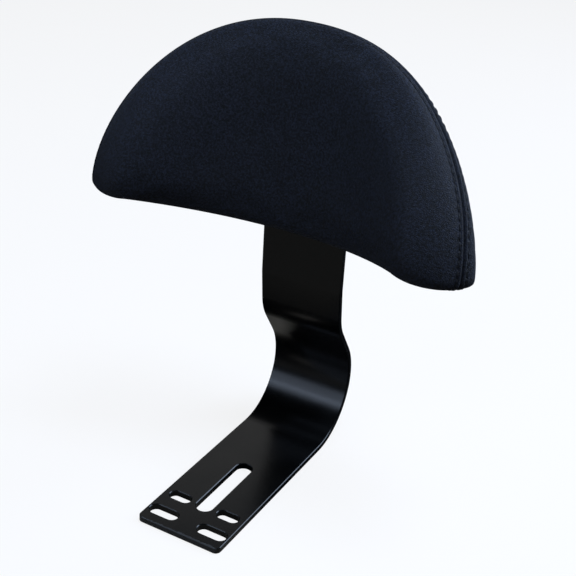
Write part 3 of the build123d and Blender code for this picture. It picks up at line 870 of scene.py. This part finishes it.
def open_foam(finish):
    """Open-cell foam, yellowed in patches."""
    material, shader, net, place = new_material("Open Foam", roughness=0.9, specular=0.2)
    cells = net.cells(place, 1400.0)
    tone, _ = mottled(net, place, rgba(finish.foam), rgba(finish.foam, 0.75), 0.03, 0.8)
    # Painted shade: the foam's colour darkens in its open pores.
    pore_shaded = net.blend(net.span(cells, 0.0, 0.35, 0.6, 0.0), tone, rgba(finish.foam, 0.4))
    surface(net, shader, pore_shaded, None, cells, 0.0004, 0.8)
    return material


def zinc_plate(finish):
    """Bright zinc with fine turning marks and dull spots."""
    material, shader, net, place = new_material("Zinc Plate", metallic=1.0, roughness=0.32)
    marks = net.noise(place, 2600.0, 2.0, 0.6)
    yellowed = finish.zinc[0], finish.zinc[1] * 0.97, finish.zinc[2] * 0.86
    tone, mask = mottled(net, place, rgba(finish.zinc, 1.1), rgba(yellowed, 0.75), 0.006, 0.8)
    surface(net, shader, tone, net.span(mask, 0.0, 1.0, 0.24, 0.42), marks, 0.00005, 0.5)
    return material


def dress(node, material):
    """Gives a CAD node its finish."""
    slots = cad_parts[node].data.materials
    slots.clear()
    slots.append(material)


class BACKREST_OT_strap_finish(bpy.types.Operator):
    """Coats the bent strap"""
    bl_idname = "backrest.strap_finish"
    bl_label = "Strap coat"

    def execute(self, context):
        dress("mounting_bracket", powder_coat(context.scene.backrest_finish))
        return {"FINISHED"}


class BACKREST_OT_back_finish(bpy.types.Operator):
    """Finishes the back panel, the board and the foam"""
    bl_idname = "backrest.back_finish"
    bl_label = "Back, board and foam"

    def execute(self, context):
        finish = context.scene.backrest_finish
        dress("back_panel", moulded_panel(finish))
        dress("base_board", plywood(finish))
        dress("foam_core", open_foam(finish))
        return {"FINISHED"}


class BACKREST_OT_fastener_finish(bpy.types.Operator):
    """Plates the bolts, washers, nuts and staples"""
    bl_idname = "backrest.fastener_finish"
    bl_label = "Fasteners"

    def execute(self, context):
        material = zinc_plate(context.scene.backrest_finish)
        for node in ("pad_bolts", "lock_washers", "flat_washers", "tee_nuts", "cover_staples"):
            dress(node, material)
        return {"FINISHED"}


# Studio

MIDDLE = (0.0, 0.1, 0.2)
COOL, WHITE = (0.64, 0.77, 1.0), (1.0, 1.0, 1.0)
# Name, place, the point it looks at, width, height, power and colour of each lamp
LAMPS = (
    ("key_lamp", (-0.55, -1.15, 0.7), MIDDLE, 1.1, 0.9, 5.7, COOL),
    ("spot_lamp", (-0.49, -0.9, 0.72), (0.0, 0.1, 0.06), 0.16, 0.16, 0.35, COOL),
    ("top_lamp", (0.45, 0.15, 1.95), MIDDLE, 0.9, 0.9, 36.0, COOL),
    ("rim_lamp", (1.3, 1.2, 0.9), MIDDLE, 1.3, 1.3, 29.0, COOL),
    ("left_lamp", (-1.6, -0.6, 0.9), MIDDLE, 1.3, 1.3, 1.7, COOL),
    ("back_lamp", (-0.9, 1.5, 1.0), MIDDLE, 1.3, 0.8, 1.45, WHITE),
)
FLOOR_GLOW = 0.84
# Middle, inner radius, outer radius and level of the painted light spots that only reflections see on the
# floor
FLOOR_SPOTS = (((-0.062, 0.166, 0.0), 0.006, 0.022, 0.45), ((-0.04, 0.088, 0.0), 0.006, 0.02, 0.8))


def soft_lamp(name, place, target, width, height, power, colour):
    """A rectangular area lamp that looks at a point."""
    data = bpy.data.lights.new(name, "AREA")
    data.shape = "RECTANGLE"
    data.size = width
    data.size_y = height
    data.energy = power
    data.color = colour
    lamp = link(bpy.data.objects.new(name, data))
    lamp.location = place
    lamp.rotation_euler = (Vector(target) - Vector(place)).to_track_quat("-Z", "Y").to_euler()


def studio_world(scene):
    """White to the camera, a dim bluish room to everything else."""
    world = bpy.data.worlds.new("Studio")
    scene.world = world
    world.use_nodes = True
    net = NodeNet(world.node_tree)
    room = world.node_tree.nodes["Background"]
    room.inputs["Color"].default_value = rgba((0.85, 0.93, 1.0))
    white = net.node("ShaderNodeBackground", {"Color": rgba(WHITE)})
    rays = net.node("ShaderNodeLightPath").outputs
    net.feed(room.inputs["Strength"], net.span(rays["Is Glossy Ray"], 0.0, 1.0, 0.02, 0.01))
    seen = net.calc("MAXIMUM", rays["Is Camera Ray"], rays["Is Transmission Ray"])
    net.mixed(seen, room, white, "World Output")


def studio_floor(studio, finish):
    """Floor under the foot: pale with a soft shadow to the camera, dark and warm to everything else."""
    half = studio.floor_width / 2
    mesh = bpy.data.meshes.new("floor")
    corners = [(-half, -half, 0), (half, -half, 0), (half, half, 0), (-half, half, 0)]
    mesh.from_pydata(corners, [], [(0, 1, 2, 3)])
    floor = link(bpy.data.objects.new("floor", mesh))
    floor.location.z = -0.05 * MM
    material, shader, net, place = new_material("Floor", roughness=0.9, specular=0.1)
    glow = net.node("ShaderNodeEmission", {"Color": rgba(WHITE)})
    rays = net.node("ShaderNodeLightPath").outputs
    # Painted light for reflections only: the floor grows brighter towards the front of the foot, and painted
    # light spots are added beside it.
    mirrored = net.span(net.axes(place)["Y"], 0.055, 0.0, 0.01, 0.2)
    for spot, inner, outer, level in FLOOR_SPOTS:
        away = net.node("ShaderNodeVectorMath", {0: place, 1: spot}, operation="DISTANCE")
        mirrored = net.calc("ADD", mirrored, net.span(away.outputs["Value"], inner, outer, level, 0.0))
    share = net.span(rays["Is Glossy Ray"], 0.0, 1.0, 0.09, mirrored)
    warm = net.blend(1.0, rgba((1.0, 0.84, 0.62)), net.grey(share), "MULTIPLY")
    net.feed(shader.inputs["Base Color"], net.blend(rays["Is Camera Ray"], warm, rgba(finish.floor)))
    net.mixed(net.times(rays["Is Camera Ray"], FLOOR_GLOW), shader, glow, "Material Output")
    mesh.materials.append(material)


def studio_camera(scene, studio):
    """Camera at the photograph's place."""
    azimuth, elevation = studio.azimuth, studio.elevation
    back = Vector((math.sin(azimuth) * math.cos(elevation), -math.cos(azimuth) * math.cos(elevation),
                   math.sin(elevation)))
    right = Vector((math.cos(azimuth), math.sin(azimuth), 0.0))
    up = back.cross(right)
    tilt = math.cos(studio.roll), math.sin(studio.roll)
    rolled = right * tilt[0] + up * tilt[1], up * tilt[0] - right * tilt[1]
    data = bpy.data.cameras.new("camera")
    data.sensor_width = 36.0
    data.lens = studio.lens
    data.clip_start = 0.01
    data.clip_end = 50.0
    camera = link(bpy.data.objects.new("camera", data))
    turned = Matrix((rolled[0], rolled[1], back)).transposed().to_4x4()
    camera.matrix_world = Matrix.Translation(Vector(studio.target) + back * studio.distance) @ turned
    scene.camera = camera


class BACKREST_OT_studio(bpy.types.Operator):
    """Lays the floor and sets the lamps and the camera"""
    bl_idname = "backrest.studio"
    bl_label = "Studio"

    def execute(self, context):
        scene = context.scene
        studio = scene.backrest_studio
        studio_world(scene)
        studio_floor(studio, scene.backrest_finish)
        studio_camera(scene, studio)
        for lamp in LAMPS:
            soft_lamp(*lamp)
        scene.view_settings.view_transform = "Standard"
        return {"FINISHED"}


class BACKREST_PT_panel(bpy.types.Panel):
    """Steps of the backrest in the order they are made"""
    bl_label = "Backrest"
    bl_idname = "BACKREST_PT_panel"
    bl_space_type = "VIEW_3D"
    bl_region_type = "UI"
    bl_category = "Backrest"

    def draw(self, context):
        for step in STEPS:
            self.layout.operator(step.bl_idname)


STEPS = (BACKREST_OT_pad_cover, BACKREST_OT_stitch_rows, BACKREST_OT_strap_finish, BACKREST_OT_back_finish,
         BACKREST_OT_fastener_finish, BACKREST_OT_studio)


def register():
    """Registers the settings, the steps and the panel."""
    for name, group in GROUPS:
        bpy.utils.register_class(group)
        setattr(bpy.types.Scene, name, PointerProperty(type=group))
    for step in STEPS:
        bpy.utils.register_class(step)
    bpy.utils.register_class(BACKREST_PT_panel)


def unregister():
    """Takes everything away again."""
    bpy.utils.unregister_class(BACKREST_PT_panel)
    for step in reversed(STEPS):
        bpy.utils.unregister_class(step)
    for name, group in reversed(GROUPS):
        delattr(bpy.types.Scene, name)
        bpy.utils.unregister_class(group)


def main():
    """Makes every piece in order."""
    register()
    for step in STEPS:
        area, name = step.bl_idname.split(".")
        getattr(getattr(bpy.ops, area), name)()


if __name__ == "__main__":
    main()
